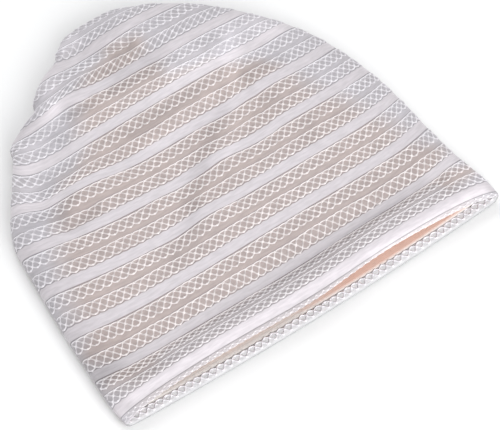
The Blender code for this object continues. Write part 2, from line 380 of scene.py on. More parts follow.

# %% [markdown]
# ## Shade that is painted on
# Soft cloth has more light and dark than its large folds give: small hollows, and stretches that turn
# to the light or from it. Modelling each would take many more triangles and much trial, so here they
# are painted. Each stroke is a line on the upper panel with a bell of shade about it, and an amount
# below zero lightens. They were set one by one against the photograph. The groove above the brim has its
# own shade, which follows the stripes and fades near the right seam. This shade is a share of the
# light, and it stays where it is when the lights move.

# %% Shade on the cloth
SHADES = (
    # across, up, across, up, width, share of the light lost
    (-0.70, 0.53, -0.61, 0.56, 0.022, 0.16),
    (-0.82, 0.57, -0.70, 0.54, 0.020, 0.13),
    (-0.68, 0.62, -0.52, 0.63, 0.022, 0.14),
    (-0.22, 0.62, 0.14, 0.63, 0.018, 0.14),
    (0.38, 0.61, 0.56, 0.61, 0.022, 0.11),
    (0.38, 0.60, 0.10, 0.52, 0.025, 0.10),
    (0.06, 0.51, -0.20, 0.38, 0.026, 0.17),
    (-0.20, 0.36, -0.42, 0.27, 0.022, 0.10),
    (0.30, 0.49, 0.40, 0.51, 0.020, 0.08),
    (0.42, 0.36, 0.46, 0.40, 0.022, 0.09),
    (-0.48, 0.73, -0.37, 0.76, 0.026, 0.19),
    (-0.17, 0.76, 0.15, 0.74, 0.018, 0.12),
    (-0.10, 0.79, 0.12, 0.79, 0.028, 0.13),
    (0.32, 0.73, 0.37, 0.73, 0.026, 0.16),
    (-0.60, 0.80, -0.52, 0.83, 0.020, 0.11),
    (-0.06, 0.84, 0.05, 0.85, 0.014, 0.10),
    (-0.12, 0.92, 0.02, 0.92, 0.022, 0.12),
    (-0.94, 0.12, -0.74, 0.07, 0.030, 0.12),
    (-0.93, 0.12, -0.93, 0.50, 0.050, 0.05),
    (-0.20, 0.96, -0.15, 0.96, 0.028, -0.27),
    (-0.36, 0.88, -0.46, 0.77, 0.030, -0.24),
    (-0.62, 0.76, -0.77, 0.64, 0.040, -0.20),
    (-0.40, 0.72, -0.05, 0.71, 0.026, -0.10),
    (0.13, 0.72, 0.32, 0.70, 0.030, -0.20),
    (0.05, 0.69, 0.62, 0.71, 0.050, -0.11),
    (0.45, 0.75, 0.27, 0.57, 0.025, -0.16),
    (0.57, 0.75, 0.61, 0.69, 0.033, -0.12),
    (-0.18, 0.57, 0.15, 0.60, 0.026, -0.12),
    (0.23, 0.52, 0.07, 0.44, 0.025, -0.10),
    (0.80, 0.13, 0.89, 0.13, 0.026, -0.13),
    (-0.90, 0.04, 0.94, 0.02, 0.016, -0.20),
    (0.35, 0.02, 0.94, 0.02, 0.016, -0.20),
)
GROOVE_SHADE = np.array((
    # repeat, share of the light lost
    (1.10, 0.00),
    (1.22, 0.13),
    (1.40, 0.14),
    (1.50, 0.06),
    (1.68, 0.15),
    (1.87, 0.21),
    (2.00, 0.23),
    (2.12, 0.21),
    (2.30, 0.12),
    (2.80, 0.05),
    (3.30, 0.00),
))
GROOVE_RIGHT = 0.130
GROOVE_FADE = 0.012
GROOVE_REST = 0.2


def shade_at(points, repeat):
    """Share of the light that a place of the upper panel loses, or gains where negative: the sum of the
    strokes' bells, plus the groove's shade."""
    x, y = points[..., 0], points[..., 1] - BRIM_Y
    groove = np.interp(repeat, GROOVE_SHADE[:, 0], GROOVE_SHADE[:, 1])
    return bells(x, y, SHADES) + groove * np.clip((GROOVE_RIGHT - x) / GROOVE_FADE, GROOVE_REST, 1)


print("strokes of shade:", len(SHADES), "and the groove takes up to", GROOVE_SHADE[:, 1].max())

# %% [markdown]
# ## A mesh from a grid of points
# Every cloth piece here is a grid: rows from the brim to the crown, columns from seam to seam. One
# function turns such a grid into a mesh, gives it a UV map named cloth that holds the place in the
# fabric, and puts named values on its points for the materials to read. Solidify then gives the cloth
# its wall on the inner side. The wall could be a second grid, but the modifier closes its edges too.

# %% Grid to mesh
def grid_faces(rows, columns):
    """Four corners for each cell of a grid, as one array."""
    index = np.arange(rows * columns).reshape(rows, columns)
    return np.stack([index[:-1, :-1], index[:-1, 1:], index[1:, 1:], index[1:, :-1]], -1).reshape(-1, 4)


def mesh_piece(name, points, faces, material, uv=None, masks=None):
    """A mesh from points and faces, with a UV place and named values for each point."""
    mesh = bpy.data.meshes.new(name)
    mesh.vertices.add(len(points))
    mesh.vertices.foreach_set("co", points.astype(np.float32).ravel())
    mesh.loops.add(faces.size)
    mesh.loops.foreach_set("vertex_index", faces.astype(np.int32).ravel())
    mesh.polygons.add(len(faces))
    mesh.polygons.foreach_set("loop_start", np.arange(len(faces), dtype=np.int32) * faces.shape[1])
    mesh.update(calc_edges=True)
    mesh.shade_smooth()
    if uv is not None:
        layer = mesh.uv_layers.new(name="cloth")
        layer.data.foreach_set("uv", uv[faces.ravel()].astype(np.float32).ravel())
    for label, values in (masks or {}).items():
        attribute = mesh.attributes.new(label, "FLOAT", "POINT")
        attribute.data.foreach_set("value", values.astype(np.float32).ravel())
    mesh.materials.append(material)
    piece = bpy.data.objects.new(name, mesh)
    bpy.context.scene.collection.objects.link(piece)
    return piece


def cloth_piece(name, points, uv, masks, material, wall, turned=False):
    """A sheet of cloth from a grid of points, with its masks spread over the grid and its wall on the
    inner side. Turned swaps the order of the corners, for a grid that would face inwards."""
    faces = grid_faces(*points.shape[:2])
    spread = {label: np.broadcast_to(values, points.shape[:2]) for label, values in masks.items()}
    piece = mesh_piece(name, points.reshape(-1, 3), faces[:, ::-1] if turned else faces, material,
                       uv.reshape(-1, 2), spread)
    solid = piece.modifiers.new("wall", "SOLIDIFY")
    solid.thickness, solid.offset = wall, -1
    print(name, "has", points.shape[0], "rows and", points.shape[1], "columns")
    return piece


def distance_across(points):
    """Length along each row of a grid, measured from the row's middle column."""
    steps = np.linalg.norm(np.diff(points, axis=1), axis=2)
    length = np.concatenate([np.zeros((len(points), 1)), np.cumsum(steps, 1)], 1)
    return length - length[:, length.shape[1] // 2, None]


print("a grid of 3 by 4 points has", len(grid_faces(3, 4)), "cells")

# %% [markdown]
# ## Finishes first
# A material is a set of nodes. They can be set one by one in Blender's editor, but written as steps they
# can be read. What several materials need is made once as a node group: the plan of the stripes, the
# net's lines, a fine weave, streaks and soft unevenness. A group only works out masks, tones and
# heights, and the shader itself stays in each material.

# %% A small helper for nodes
class Nodes:
    """Adds nodes to a tree and links them, so that a material reads as a list of steps."""

    def __init__(self, tree):
        self.tree = tree

    def feed(self, node, inputs):
        """Gives a node its inputs, by name or number, each a value or another node's output."""
        for key, value in inputs.items():
            if isinstance(value, bpy.types.NodeSocket):
                self.tree.links.new(value, node.inputs[key])
            else:
                node.inputs[key].default_value = value

    def add(self, kind, inputs=None, **settings):
        """One node with its settings and inputs."""
        node = self.tree.nodes.new(kind)
        for key, value in settings.items():
            setattr(node, key, value)
        self.feed(node, inputs or {})
        return node

    def group(self, tree, **inputs):
        """A node group with its inputs. Gives its outputs."""
        return self.add("ShaderNodeGroup", inputs, node_tree=tree).outputs

    def attribute(self, name):
        """A value that the mesh has at each point."""
        return self.add("ShaderNodeAttribute", attribute_name=name).outputs["Fac"]

    def cloth_place(self):
        """The place in the fabric, as the two numbers of the UV map."""
        place = self.add("ShaderNodeUVMap", uv_map="cloth").outputs[0]
        return self.add("ShaderNodeSeparateXYZ", {0: place}).outputs

    def math(self, operation, *values, clamp=False):
        """A Math node's output for these values."""
        return self.add("ShaderNodeMath", dict(enumerate(values)), operation=operation,
                        use_clamp=clamp).outputs[0]

    def plus(self, first, second):
        """A sum."""
        return self.math("ADD", first, second)

    def minus(self, first, second):
        """A difference."""
        return self.math("SUBTRACT", first, second)

    def times(self, first, second):
        """A product."""
        return self.math("MULTIPLY", first, second)

    def away(self, first, second):
        """The distance between two values."""
        return self.math("ABSOLUTE", self.minus(first, second))

    def ramp(self, value, low, high):
        """0 below the low value, 1 above the high one, and a soft step between."""
        return self.add("ShaderNodeMapRange", {0: value, 1: low, 2: high},
                        interpolation_type="SMOOTHSTEP").outputs[0]

    def mix(self, factor, *colours):
        """A colour between two colours."""
        first, second = ((*colour, 1) if isinstance(colour, tuple) else colour for colour in colours)
        return self.add("ShaderNodeMix", {"Factor": factor, 6: first, 7: second},
                        data_type="RGBA").outputs[2]

    def scaled(self, colour, share):
        """A colour times a number."""
        return self.add("ShaderNodeVectorMath", {0: colour, "Scale": share}, operation="SCALE").outputs[0]

    def shaded(self, colour, strength):
        """A colour less the share of light that the mask named shade says is lost."""
        return self.scaled(colour, self.minus(1.0, self.times(self.attribute("shade"), strength)))

    def bump(self, height, strength, distance):
        """A normal that leans with a height map."""
        return self.add("ShaderNodeBump", {"Height": height, "Strength": strength,
                                           "Distance": distance}).outputs[0]


def new_group(name, inputs, outputs):
    """An empty node group, its helper, what its input node gives, and its output node. An input is a
    number with a first value, or a vector where that is None. An output is a number."""
    group = bpy.data.node_groups.new(name, "ShaderNodeTree")
    for label, value in inputs.items():
        kind = "NodeSocketVector" if value is None else "NodeSocketFloat"
        socket = group.interface.new_socket(label, in_out="INPUT", socket_type=kind)
        if value is not None:
            socket.default_value = value
    for label in outputs:
        group.interface.new_socket(label, in_out="OUTPUT", socket_type="NodeSocketFloat")
    nodes = Nodes(group)
    return group, nodes, nodes.add("NodeGroupInput").outputs, nodes.add("NodeGroupOutput")


print("the helper knows:", [name for name in vars(Nodes) if not name.startswith("_")])

# %% [markdown]
# ### The plan of the stripes
# In one repeat of 27.7 mm there are, from the satin towards the crown: satin, net, sheer stripe, net.
# Each stripe could be a cloth of its own, but they are woven in one piece. So one group takes the
# distance across the fabric and the repeat, and gives a mask for each kind of stripe. Level says how far
# down its strip a place of the net is. At the satin's borders and where the net meets the sheer stripe a
# hair-thin dark line of painted shadow lies where one stripe's edge shades the next. Above the satin it
# follows the scallops of the net, so it waves once for each of them.

# %% Stripe widths and the stripe plan
SATIN_HALF = 0.0033
UPPER_NET = (0.0043, 0.0118)
LOWER_NET = (-0.0116, -0.0043)
EDGE_SOFTNESS = 0.0002
HAIRLINE = 0.00016
HAIRLINE_AWAY = 0.0004
# how dark the painted shadow line is: above the satin, below it, and where the net meets the sheer stripe
HAIRLINES = (0.75, 1.0, 0.7)
PITCH = 0.0055
SCALLOP_WAVE = 0.0005


def stripe_plan_group():
    """Masks of the stripes from the place in the fabric. The part of the repeat past its whole number
    gives the distance from the middle of the satin, and that is compared with the stripes' borders."""
    group, n, source, sink = new_group("stripe_plan", {"Across": 0.0, "Repeat": 0.0},
                                       ("Satin", "Net", "Hairline", "Level"))
    up = n.times(n.minus(n.math("FRACT", n.plus(source["Repeat"], 0.5)), 0.5), REPEAT)
    wave = n.math("ABSOLUTE", n.math("SINE", n.times(source["Across"], math.pi / PITCH)))
    above = n.minus(n.plus(up, n.times(wave, SCALLOP_WAVE)), SATIN_HALF + SCALLOP_WAVE)
    below = n.minus(-SATIN_HALF, up)
    satin = n.minus(1.0, n.ramp(n.math("MAXIMUM", above, below), -EDGE_SOFTNESS, EDGE_SOFTNESS))
    over_net = n.minus(up, UPPER_NET[1])
    under_net = n.minus(LOWER_NET[0], up)
    sheer = n.ramp(n.math("MAXIMUM", over_net, under_net), -EDGE_SOFTNESS, EDGE_SOFTNESS)
    # the three lines of painted shadow, each a soft band beside its border
    lines = [n.times(n.minus(1.0, n.ramp(n.away(edge, HAIRLINE_AWAY), HAIRLINE, HAIRLINE * 2)), dark)
             for edge, dark in zip((above, below, over_net), HAIRLINES)]
    line = n.math("MAXIMUM", lines[0], n.math("MAXIMUM", lines[1], lines[2]))
    net = n.math("SUBTRACT", n.minus(1.0, satin), sheer, clamp=True)
    upper, lower = (n.math("DIVIDE", n.minus(top, up), top - bottom)
                    for bottom, top in (UPPER_NET, LOWER_NET))
    level = n.math("MULTIPLY_ADD", n.math("GREATER_THAN", up, 0.0), n.minus(upper, lower), lower)
    n.feed(sink, {"Satin": satin, "Net": net, "Hairline": line, "Level": level})
    return group


stripe_plan = stripe_plan_group()
print("stripe plan:", len(stripe_plan.nodes), "nodes")

# %% [markdown]
# ### The net, drawn flat
# The threads that show are modelled further down, as tubes that lie on this cloth. Their run is needed
# here too, because the net's cells are darker in their middles than at their rims. On the lower panel,
# which lies on the table, the threads are only drawn, as tubes would cost triangles where no one looks.
# Both masks come from the distance to the nearest of a strip's four threads.

# %% The net's threads as a mask
# levels of the straight thread, of the first zigzag's points, of the knots and of the scallops' tips
NET_LEVELS = (0.05, 0.41, 0.78, 1.0)
ZIGZAG_SHARPNESS = 0.5
SCALLOP_POWER = 0.6
# for each thread, how much of a distance along the strip is square to it
SQUARE_SHARES = (1.0, 0.7, 0.7, 0.8)
PAINTED_THREAD = 0.00034
PAINTED_BLUR = 0.4
CELL_RIM = 0.0003
CELL_MIDDLE = 0.0011


def net_lines_group():
    """The four threads of a net strip, drawn flat. Level is 0 at the straight thread and 1 at the tips
    of the scallops. Between two levels a thread runs in a wave that is part zigzag and part cosine, and
    the scallops are a sine to a power."""
    group, n, source, sink = new_group("net_lines", {"Across": 0.0, "Level": 0.0}, ("Lines", "Cells"))
    turn = n.math("FRACT", n.math("DIVIDE", source["Across"], PITCH))
    straight = n.minus(1.0, n.away(n.times(turn, 2.0), 1.0))
    cosine = n.math("COSINE", n.times(turn, 2 * math.pi))
    rounded = n.times(n.minus(1.0, cosine), (1 - ZIGZAG_SHARPNESS) / 2)
    wave = n.plus(n.times(straight, ZIGZAG_SHARPNESS), rounded)
    arch = n.math("POWER", n.math("SINE", n.times(turn, math.pi)), SCALLOP_POWER)
    top, middle, knots, tips = NET_LEVELS
    paths = (top, n.math("MULTIPLY_ADD", wave, middle - top, top),
             n.math("MULTIPLY_ADD", wave, middle - knots, knots),
             n.math("MULTIPLY_ADD", arch, tips - knots, knots))
    strip = UPPER_NET[1] - UPPER_NET[0]
    away = [n.times(n.away(source["Level"], path), share * strip)
            for path, share in zip(paths, SQUARE_SHARES)]
    nearest = n.math("MINIMUM", n.math("MINIMUM", away[0], away[1]), n.math("MINIMUM", away[2], away[3]))
    blurred = [PAINTED_THREAD * (1 - PAINTED_BLUR), PAINTED_THREAD * (1 + PAINTED_BLUR)]
    n.feed(sink, {"Lines": n.minus(1.0, n.ramp(nearest, *blurred)),
                  "Cells": n.ramp(nearest, CELL_RIM, CELL_MIDDLE)})
    return group


net_lines = net_lines_group()
print("net lines:", len(net_lines.nodes), "nodes")

# %% [markdown]
# ### Weave, sheen and unevenness
# Seen close, woven cloth is a chequer of tiny bumps, its floating threads catch the light in fine lines
# along the stripe, and no dyed cloth has quite one tone. A photographed tile could give all that, but it
# would repeat. Two sines give the weave, noise drawn out along the stripe gives those fine lines as painted
# sheen, and noise gives the uneven tone, at any size and for every material.

# %% The three small groups
# how many grains of noise there are in a metre along the stripe and across it
STREAK_GRAINS = (120.0, 700.0, 1.0)


def fine_weave_group():
    """A plain weave's height: a sine across times a sine along, with so many threads to the metre."""
    group, n, source, sink = new_group("fine_weave", {"Place": None, "Threads": 1500.0}, ("Height",))
    split = n.add("ShaderNodeSeparateXYZ", {0: source["Place"]}).outputs
    turns = n.times(source["Threads"], math.pi)
    waves = [n.math("SINE", n.times(split[axis], turns)) for axis in (0, 1)]
    n.feed(sink, {"Height": n.times(*waves)})
    return group


def streaks_group():
    """Fine lines of painted sheen that run with the stripes, where the floats of a satin catch the light:
    noise drawn out lengthwise.
    """
    group, n, source, sink = new_group("streaks", {"Place": None}, ("Tone",))
    drawn = n.add("ShaderNodeVectorMath", {0: source["Place"], 1: STREAK_GRAINS}, operation="MULTIPLY")
    noise = n.add("ShaderNodeTexNoise", {"Vector": drawn.outputs[0], "Scale": 1.0, "Detail": 2.0})
    n.feed(sink, {"Tone": n.ramp(noise.outputs[0], 0.25, 0.75)})
    return group


def unevenness_group():
    """Slow changes of tone over the cloth, between 0 and 1: noise on object coordinates."""
    group, n, source, sink = new_group("unevenness", {"Scale": 30.0}, ("Tone",))
    noise = n.add("ShaderNodeTexNoise", {"Vector": n.add("ShaderNodeTexCoord").outputs["Object"],
                                         "Scale": source["Scale"], "Detail": 3.0, "Roughness": 0.55})
    n.feed(sink, {"Tone": n.ramp(noise.outputs[0], 0.3, 0.7)})
    return group


fine_weave, streaks, unevenness = fine_weave_group(), streaks_group(), unevenness_group()
print("groups:", [group.name for group in bpy.data.node_groups])

# %% [markdown]
# ### The striped cloth
# Where the jersey lining lies right under the sheer ground, its peach shows through and the cloth looks
# warm. Elsewhere it is a cool grey with a touch of lavender. Sheer cloth over a lining could be rendered
# as it is, but light that passes thin cloth is slow and noisy, so the mask named lined says which it is.
# The satin is the brightest and smoothest part. Fine lines of painted sheen run through all of the cloth
# along its stripes. The cells of the net are darker in their middles. The mask named glow
# turns the hem paler, partly for its doubled cloth and partly as painted light, and the mask named shade
# brings painted shade to the folds and painted highlights. Painted threads show on the lower panel only.

# %% The cloth's colours and material
SATIN = (0.595, 0.555, 0.580)
WARM_GROUND = (0.452, 0.378, 0.360)
COOL_GROUND = (0.500, 0.477, 0.508)
DEEP_GROUND = (0.35, 0.31, 0.31)
DEEP_SHARE = 0.25
HAIRLINE_SHADOW = (0.22, 0.21, 0.225)
HAIRLINE_SHADOW_SHARE = 0.7
THREAD = (0.50, 0.448, 0.445)
PAINTED_SHARE = 0.8
# the hem's pale colour: partly its doubled cloth, partly painted light
PALE_HEM_AND_LIGHT = (0.645, 0.65, 0.66)
CELL_DEPTH = 0.15
CELL_LIFT = 0.06
SHEEN_GAIN = 0.16
WEAVE_THREADS = 2600.0
WEAVE_HEIGHT = 0.25
SATIN_HEIGHT = 1.6
ROUGHNESS = 0.72
SATIN_SMOOTHER = 0.27


def new_material(name):
    """A material with only its shader, the helper, and the shader node."""
    material = bpy.data.materials.new(name)
    material.use_nodes = True
    return material, Nodes(material.node_tree), material.node_tree.nodes["Principled BSDF"]


def striped_cloth_material():
    """The ground of the striped net: satin, sheer stripe, net ground and drawn threads. Each step mixes
    the next colour in by its mask, or scales the colour so far."""
    material, n, shader = new_material("striped_cloth")
    place = n.cloth_place()
    plan = n.group(stripe_plan, Across=place[0], Repeat=place[1])
    net = n.group(net_lines, Across=place[0], Level=plan["Level"])
    tone = n.group(unevenness, Scale=28.0)["Tone"]
    ground = n.mix(n.attribute("lined"), COOL_GROUND, WARM_GROUND)
    ground = n.mix(n.times(tone, DEEP_SHARE), ground, DEEP_GROUND)
    colour = n.mix(plan["Satin"], ground, SATIN)
    # painted shadow in hair-thin lines at the stripes' borders
    colour = n.mix(n.times(plan["Hairline"], HAIRLINE_SHADOW_SHARE), colour, HAIRLINE_SHADOW)
    deeper = n.times(n.times(net["Cells"], plan["Net"]), CELL_DEPTH)
    colour = n.scaled(colour, n.plus(1.0, n.minus(n.times(plan["Net"], CELL_LIFT), deeper)))
    threads = n.times(n.times(net["Lines"], plan["Net"]), n.attribute("painted"))
    colour = n.mix(n.times(threads, PAINTED_SHARE), colour, THREAD)
    # the hem paler, partly its doubled cloth and partly painted light, then painted shade and highlights
    colour = n.shaded(n.mix(n.attribute("glow"), colour, PALE_HEM_AND_LIGHT), 1.0)
    on_cloth = n.add("ShaderNodeCombineXYZ", {0: place[0], 1: n.times(place[1], REPEAT)}).outputs[0]
    # painted sheen: the colour rises and falls a little in fine lines along the stripes
    streak = n.group(streaks, Place=on_cloth)["Tone"]
    colour = n.scaled(colour, n.math("MULTIPLY_ADD", streak, SHEEN_GAIN, 1 - SHEEN_GAIN / 2))
    weave = n.group(fine_weave, Place=on_cloth, Threads=WEAVE_THREADS)["Height"]
    height = n.plus(n.times(weave, WEAVE_HEIGHT), n.times(plan["Satin"], SATIN_HEIGHT))
    n.feed(shader, {"Base Color": colour, "Normal": n.bump(n.plus(height, threads), 0.5, 0.0003),
                    "Roughness": n.minus(ROUGHNESS, n.times(plan["Satin"], SATIN_SMOOTHER)),
                    "Sheen Weight": 0.25, "Sheen Roughness": 0.5})
    return material


striped_cloth = striped_cloth_material()
print(striped_cloth.name, "has", len(striped_cloth.node_tree.nodes), "nodes")

# %% [markdown]
# ### The net's thread
# The thread is off-white, brightest at its knots, where the most of it lies together. Like the cloth it
# is warmer over the lining and cooler elsewhere. One plain colour would look like plastic, so its
# brightness changes along the way at random, as painted glints where filaments turn to the light, and a
# fine band runs across it as a bump, for the twist.

# %% The thread's colours and material
KNOT = (0.86, 0.80, 0.795)
COOL_THREAD = (0.53, 0.508, 0.535)
COOL_KNOT = (0.84, 0.815, 0.845)
KNOT_SHARE = 0.7
GLINT_SHARE = 0.5
THREAD_SHADE = 0.6


def thread_material():
    """The net's thread. Its brightness is a share of the knot mask plus a share of the unevenness, which
    gives its painted glints.
    """
    material, n, shader = new_material("net_thread")
    tone = n.group(unevenness, Scale=240.0)["Tone"]
    bright = n.math("ADD", n.times(n.attribute("knot"), KNOT_SHARE), n.times(tone, GLINT_SHARE), clamp=True)
    warm, cool = n.mix(bright, THREAD, KNOT), n.mix(bright, COOL_THREAD, COOL_KNOT)
    twist = n.add("ShaderNodeTexWave", {"Vector": n.add("ShaderNodeTexCoord").outputs["Object"],
                                        "Scale": 420.0, "Distortion": 1.5},
                  wave_type="BANDS", bands_direction="DIAGONAL")
    n.feed(shader, {"Base Color": n.shaded(n.mix(n.attribute("lined"), cool, warm), THREAD_SHADE),
                    "Normal": n.bump(twist.outputs["Fac"], 0.3, 0.0002),
                    "Roughness": 0.55, "Sheen Weight": 0.2})
    return material


net_thread = thread_material()
print(net_thread.name, "has", len(net_thread.node_tree.nodes), "nodes")

# %% [markdown]
# ### The lining's jersey
# Jersey is knitted, so it has upright ribs and rows of tiny loops, and brushed it is quite matt. The
# loops could be modelled, but they are a millimetre wide and hardly show in the narrow opening, so two
# waves give a bump, and the hollows between the ribs are a little darker with painted shade. The mask
# named faced turns the peach into the hem's own pale cloth just inside the opening, where the
# lower hem is seen over the lining, and on the lower side it gives the lining's first 0.8 mm the same pale
# colour as painted light, where the step down from the hem shades it.

# %% The lining's colours and material
PEACH = (0.82, 0.575, 0.48)
PEACH_SHADE = (0.75, 0.47, 0.38)
# the hem's pale facing cloth, also used as painted light along the lining's start
PALE_FACING_AND_LIGHT = (0.79, 0.74, 0.705)
RIB_WIDTH = 0.0009
LOOP_HEIGHT = 0.0011
LOOP_SHARE = 0.3


def jersey_material():
    """The lining: peach jersey. The ribs are the size of a sine across, and the loops a sine along."""
    material, n, shader = new_material("peach_jersey")
    place = n.cloth_place()
    rib = n.math("ABSOLUTE", n.math("SINE", n.times(place[0], math.pi / RIB_WIDTH)))
    loop = n.math("SINE", n.times(place[1], 2 * math.pi / LOOP_HEIGHT))
    tone = n.group(unevenness, Scale=40.0)["Tone"]
    colour = n.mix(n.times(tone, 0.35), PEACH, PEACH_SHADE)
    # the hollows between the ribs a little darker: painted shade
    colour = n.mix(n.times(n.minus(1.0, rib), 0.15), colour, PEACH_SHADE)
    n.feed(shader, {"Base Color": n.shaded(n.mix(n.attribute("faced"), colour, PALE_FACING_AND_LIGHT), 1.0),
                    "Normal": n.bump(n.plus(rib, n.times(loop, LOOP_SHARE)), 0.4, 0.0002),
                    "Roughness": 0.85, "Sheen Weight": 0.3})
    return material


peach_jersey = jersey_material()
print(peach_jersey.name, "has", len(peach_jersey.node_tree.nodes), "nodes")

# %% [markdown]
# ## Where the lining lies under the cloth
# The lining shows through the upper panel wherever it lies close under it, and the photograph has a
# soft line where warm turns to cool. The two meshes could be measured against each other, but they
# don't touch and part as real layers do. So a table gives that line at each height, in shares of half
# the brim's width, and the mask fades across it. The blushes are strokes, as for the shade, where the
# cloth is warmer or cooler than the table says.

# %% The mask named lined
LINED = np.array((
    # height, left reach, right reach
    (0.000, 0.93, 0.88),
    (0.055, 0.93, 0.88),
    (0.160, 0.93, 0.85),
    (0.270, 0.915, 0.80),
    (0.400, 0.85, 0.69),
    (0.500, 0.76, 0.58),
    (0.600, 0.62, 0.48),
    (0.700, 0.42, 0.26),
    (0.800, 0.30, 0.06),
    (0.880, 0.14, 0.02),
    (1.000, 0.10, 0.00),
))
LINED_END = 0.865
LINED_BORDER = 0.14
LINED_START = 0.085
LINED_FADE = 0.03
HEM_LINED = 0.4
BLUSHES = (
    # across, up, across, up, width, how much warmer
    (-0.04, 0.87, 0.06, 0.85, 0.030, 0.9),
    (0.12, 0.73, 0.21, 0.72, 0.030, -0.8),
    (-0.53, 0.63, -0.45, 0.66, 0.025, -0.5),
    (0.45, 0.61, 0.52, 0.55, 0.030, 0.4),
    (-0.94, 0.10, -0.76, 0.09, 0.028, 0.4),
    (-0.94, 0.19, -0.88, 0.19, 0.028, 0.6),
    (0.81, 0.17, 0.90, 0.17, 0.026, 0.6),
    (0.84, 0.09, 0.95, 0.09, 0.021, 0.9),
)


def lined_mask(points):
    """1 where the lining is under this place of the plan and 0 past its edge, with a soft border. Near
    the brim it is 0.4, and each blush adds a bell."""
    x = points[..., 0] / (BRIM_WIDTH / 2)
    height = np.clip((points[..., 1] - BRIM_Y) / CAP_LENGTH, 0, 1)
    reach = np.where(x < 0, along(LINED, 1, height, np.asarray), along(LINED, 2, height, np.asarray))
    inside = np.clip((reach - np.abs(x)) / LINED_BORDER + 0.5, 0, 1)
    start = HEM_LINED + (1 - HEM_LINED) * np.clip((height - LINED_START) / LINED_FADE, 0, 1)
    end = np.clip((LINED_END - height) / LINED_FADE, 0, 1)
    return inside * start * end + bells(points[..., 0], points[..., 1] - BRIM_Y, BLUSHES)


print("lined halfway up, in the middle:", round(float(lined_mask(halfway)), 2))

# %% [markdown]
# ## The upper panel
# The grid is finer than the solid model's, about 1.3 mm a cell, so that creases show. Its first rows are
# the hem: the cloth goes 4.4 mm round the brim's edge and then 4.5 mm back inside. Columns crowd towards
# the seams, where the cloth curves down. An even grid would need far more of them for an edge as smooth.
# One more column at each side, and one more row at the crown, go down to the seam itself.

# %% The front cloth
FABRIC = 0.0009
HEM_ROWS = 4
ROUND_ROWS = 8
# how far the brim's edge turns to the pale hem colour: its doubled cloth, with some painted light
EDGE_PALENESS_AND_LIGHT = 0.1


def seam_to_seam(columns):
    """Places from -1 to 1 that crowd towards the seams as the upper panel's curve does: the sine of an
    even angle, to the power of 2 over n."""
    turn = np.linspace(-math.pi / 2, math.pi / 2, columns)
    return np.sign(turn) * np.abs(np.sin(turn)) ** (2 / SQUARENESS)


def brim_to_crown(body_rows, hem_length):
    """Rows from the turned-in edge of the hem to the crown, closer together round the brim's edge."""
    bend = math.pi * HEM_ROUND
    return np.concatenate([np.linspace(-hem_length, -bend, HEM_ROWS, endpoint=False),
                           np.linspace(-bend, 0, ROUND_ROWS, endpoint=False),
                           np.linspace(0, CAP_LENGTH, body_rows)])


def at_seam(points):
    """The same places at the height of the seam."""
    lowered = points.copy()
    lowered[..., 2] = SEAM_HEIGHT
    return lowered


def widened(grid, left, right):
    """A grid with one more column at each side."""
    return np.concatenate([left, grid, right], 1)


front_side = seam_to_seam(181)[None, :]
front_v = brim_to_crown(200, HEM_LENGTH)[:, None]
front_points = front_surface(front_side, front_v)
front_points = widened(front_points, at_seam(front_points[:, :1]), at_seam(front_points[:, -1:]))
front_points = np.concatenate([front_points, at_seam(front_points[-1:])])
front_side = widened(front_side, front_side[:, :1], front_side[:, -1:])
front_v = np.concatenate([front_v, front_v[-1:]])
front_uv = np.stack([distance_across(front_points), repeat_at(front_v, front_side)], -1)
# lining under the cloth, painted shade and highlights, and at the brim's edge some pale hem colour as
# painted light
front_masks = {"lined": lined_mask(front_points), "shade": shade_at(front_points, front_uv[..., 1]),
               "glow": EDGE_PALENESS_AND_LIGHT * np.clip(1 - front_v / HEM_ROUND, 0, 1)}
front_cloth = cloth_piece("front_cloth", front_points, front_uv, front_masks, striped_cloth, FABRIC)
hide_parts("front_panel")
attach(front_cloth, "root")

# %% [markdown]
# ## The lower panel
# The lower panel carries the cap, so it is flat on the table, with only its edges turned up to the seam.
# Its hem stands a few millimetres further out than the upper one and shows in front of the opening. It
# is a surface of its own and not the upper one pressed flat, because cloth under a weight lies truly
# flat and turns up only at the rim. Its hem runs 5.2 mm inside, past its half circle, and the stripes
# are counted from the hem, so that the tips of a row of scallops come just short of its inner edge.

# %% The back cloth
BACK_HEM_TURN = 0.0052
BACK_HEM = math.pi * HEM_ROUND + BACK_HEM_TURN
HEM_TIPS = -BACK_HEM + 0.0004
FLAT_SHARE = 0.96
BACK_LINED = 0.3
# how much pale hem colour the turned-in hem takes: its doubled cloth, and painted light where the upper
# panel shades it
HEM_PALENESS_AND_LIGHT = 0.8
HEM_SHADE = np.array((
    # turn round the hem's edge in radians, share of the light lost
    (0.0, 0.00),
    (0.7, 0.45),
    (1.6, 0.45),
    (2.2, 0.15),
    (3.0, -0.25),
))


def hem_shade(v):
    """Share of the light that the lower hem loses: some on its outer bend, less than nothing on top."""
    return np.interp(-v / HEM_ROUND, HEM_SHADE[:, 0], HEM_SHADE[:, 1])


turned_up = np.linspace(FLAT_SHARE, 1, 9)
back_share = np.concatenate([-turned_up[:0:-1], np.linspace(-FLAT_SHARE, FLAT_SHARE, 90), turned_up[1:]])
back_v = brim_to_crown(120, BACK_HEM)[:, None]
back_height, back_inset, _ = hem_path(back_v)
back_deep = SEAM_HEIGHT - SEAM_STRIP - back_inset
section_half = sum(reaches(back_height, back_inset)) / 2 - back_deep + back_deep * math.pi / 2
back_u = back_share[None, :] * section_half
back_points = back_surface(back_u, back_v)
back_points = widened(back_points, at_seam(back_points[:, :1]), at_seam(back_points[:, -1:]))
back_u = widened(back_u, back_u[:, :1], back_u[:, -1:])
back_repeat = np.broadcast_to((back_v - HEM_TIPS + UPPER_NET[0]) / REPEAT, back_u.shape)
